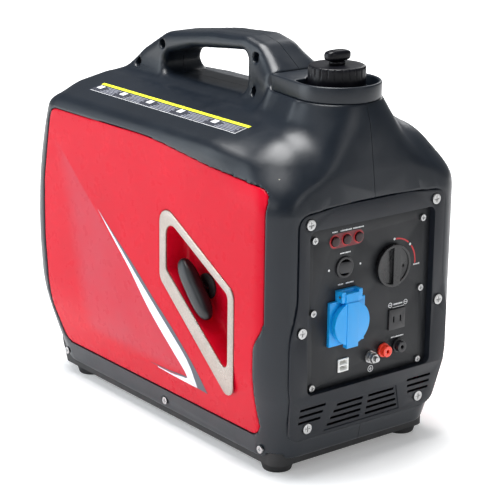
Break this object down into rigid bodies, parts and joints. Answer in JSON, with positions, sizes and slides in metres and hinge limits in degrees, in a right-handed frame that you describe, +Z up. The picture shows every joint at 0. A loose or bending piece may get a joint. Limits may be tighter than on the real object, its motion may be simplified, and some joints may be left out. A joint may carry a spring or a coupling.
{
  "type": "inverter generator",
  "caption": "Portable petrol inverter generator: moulded case with carrying handle, recessed control panel, pull starter in the side and a fuel cap on top.",
  "frame": {"origin": "centre of the overall footprint, on the surface that the feet stand on", "axes": "+Z up; -Y out of the control panel; -X out of the side with the pull starter"},
  "size_m": [0.273, 0.496, 0.454],
  "materials": {
    "case_plastic": "fine-textured moulded, dark blue-grey",
    "front_plastic": "fine-textured moulded, near black",
    "pan_plastic": "matt black moulded",
    "red_panel": "glossy red with a printed stripe",
    "bezel_trim": "satin champagne silver",
    "panel_face": "printed matt panel",
    "rubber": "matt black",
    "black_screw": "black oxide",
    "zinc_screw": "bright zinc",
    "cap_plastic": "satin black",
    "tank_plastic": "natural polyethylene",
    "steel": "plain steel",
    "strainer_plastic": "blue mesh",
    "knob_plastic": "gloss black",
    "switch_plastic": "satin black",
    "socket_blue": "satin blue",
    "brass": "plain",
    "usb_plastic": "white",
    "terminal_red": "red",
    "lens_red": "dark red lens",
    "grip_rubber": "satin black",
    "rope_cord": "braided black",
    "guide_plastic": "natural nylon",
    "cast_iron": "machined",
    "copper_winding": "enamelled copper on laminated iron",
    "engine_aluminium": "die cast",
    "plug_ceramic": "glazed",
    "muffler_steel": "heat-stained",
    "inverter_aluminium": "finned casting"
  },
  "bodies": {
    "case": {"housing_left": "case_plastic", "housing_right": "case_plastic", "base_pan": "pan_plastic", "rubber_feet": "rubber", "filler_collar": "case_plastic", "side_panel_left": "red_panel", "side_panel_right": "red_panel", "starter_bezel": "bezel_trim", "front_surround": "front_plastic", "control_panel": "panel_face", "rear_grille": "front_plastic", "handle_screws": "black_screw", "front_screws": "zinc_screw", "panel_screws": "zinc_screw", "rail_screws": "zinc_screw", "fuel_tank": "tank_plastic", "tank_neck": "steel", "fuel_strainer": "strainer_plastic", "engine_switch": "switch_plastic", "economy_switch": "switch_plastic", "schuko_base": "socket_blue", "schuko_contacts": "brass", "cover_pin": "steel", "two_pin_socket": "switch_plastic", "usb_module": "usb_plastic", "terminal_red": "terminal_red", "terminal_black": "switch_plastic", "earth_stud": "zinc_screw", "earth_nuts": "zinc_screw", "indicator_lenses": "lens_red", "starter_rope": "rope_cord", "rope_guide": "rubber", "recoil_housing": "pan_plastic", "recoil_spring": "steel", "stator": "copper_winding", "crankcase": "engine_aluminium", "engine_cylinder": "engine_aluminium", "cylinder_head": "engine_aluminium", "spark_plug": "plug_ceramic", "plug_cap": "rubber", "carburettor": "engine_aluminium", "air_cleaner": "pan_plastic", "muffler": "muffler_steel", "exhaust_outlet": "muffler_steel", "inverter_module": "inverter_aluminium", "engine_mounts": "rubber", "oil_dipstick": "guide_plastic"},
    "gasket_ring": {"cap_gasket": "rubber"},
    "fuel_cap": {"cap_shell": "cap_plastic", "cap_core": "cap_plastic"},
    "vent": {"vent_knob": "cap_plastic"},
    "engine_knob_body": {"engine_knob": "knob_plastic"},
    "rocker": {"economy_rocker": "switch_plastic"},
    "socket_cover": {"schuko_cover": "socket_blue"},
    "grip": {"starter_grip": "grip_rubber"},
    "reel": {"recoil_reel": "guide_plastic", "rope_coil": "rope_cord"},
    "rotor": {"crankshaft": "steel", "flywheel": "cast_iron", "cooling_fan": "pan_plastic"}
  },
  "joints": [
    {"name": "cap_turn", "type": "hinge", "parent": "case", "child": "gasket_ring", "pos_m": [0, -0.174, 0.404], "axis": [0, 0, 1], "range_deg": [0, 120]},
    {"name": "cap_lift", "type": "slide", "parent": "gasket_ring", "child": "fuel_cap", "axis": [0, 0, 1], "range_m": [0, 0.08]},
    {"name": "vent_turn", "type": "hinge", "parent": "fuel_cap", "child": "vent", "pos_m": [0, -0.174, 0.44], "axis": [0, 0, 1], "range_deg": [0, 90]},
    {"name": "engine_knob_turn", "type": "hinge", "parent": "case", "child": "engine_knob_body", "pos_m": [0.0335, -0.238, 0.2213], "axis": [0, 1, 0], "range_deg": [0, 90]},
    {"name": "rocker_tilt", "type": "hinge", "parent": "case", "child": "rocker", "pos_m": [-0.0345, -0.233, 0.231], "axis": [0, 0, 1], "range_deg": [0, 16]},
    {"name": "socket_cover_open", "type": "hinge", "parent": "case", "child": "socket_cover", "pos_m": [-0.032, -0.2415, 0.201], "axis": [-1, 0, 0], "range_deg": [0, 90], "stiffness_Nm_per_rad": 0.02, "springref_deg": -34.38},
    {"name": "starter_pull", "type": "slide", "parent": "case", "child": "grip", "axis": [-1, 0, 0], "range_m": [0, 0.55], "stiffness_N_per_m": 12, "springref_m": -0.5},
    {"name": "reel_turn", "type": "hinge", "parent": "case", "child": "reel", "pos_m": [0, -0.09, 0.14], "axis": [0, -1, 0], "range_deg": [0, 700]},
    {"name": "crank_turn", "type": "hinge", "parent": "case", "child": "rotor", "pos_m": [0, -0.034, 0.14], "axis": [0, 1, 0], "continuous": true}
  ],
  "couplings": [
    {"joint": "reel_turn", "follows": "starter_pull", "rad_per_m": 21.739}
  ]
}
